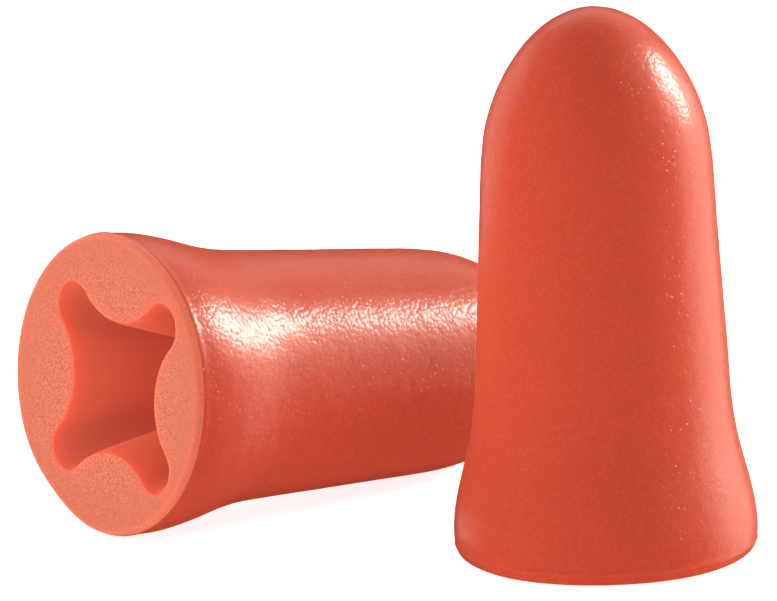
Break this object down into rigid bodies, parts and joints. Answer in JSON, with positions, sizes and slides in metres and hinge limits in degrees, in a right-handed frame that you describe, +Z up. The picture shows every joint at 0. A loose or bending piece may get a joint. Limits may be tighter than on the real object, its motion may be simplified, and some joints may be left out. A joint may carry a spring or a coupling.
{
  "type": "foam ear plugs",
  "caption": "Pair of bell-shaped foam ear plugs with an X-shaped hollow in the base, one standing and one lying on its side.",
  "frame": {"origin": "centre of the standing plug's base face, on the surface that both plugs rest on", "axes": "+Z up, +X from the lying plug's base towards its nose, +Y from the standing plug towards the lying plug"},
  "size_m": [0.0255, 0.0323, 0.025],
  "materials": {
    "foam": "soft polyurethane foam in coral orange, satin moulded skin with fine pebbled pores"
  },
  "bodies": {
    "standing": {"standing_plug": "foam"},
    "lying": {"lying_plug": "foam"}
  },
  "joints": [
    {"name": "lift_off", "type": "slide", "parent": "standing", "child": "lying", "axis": [0, 0, 1], "range_m": [0, 0.03]}
  ]
}
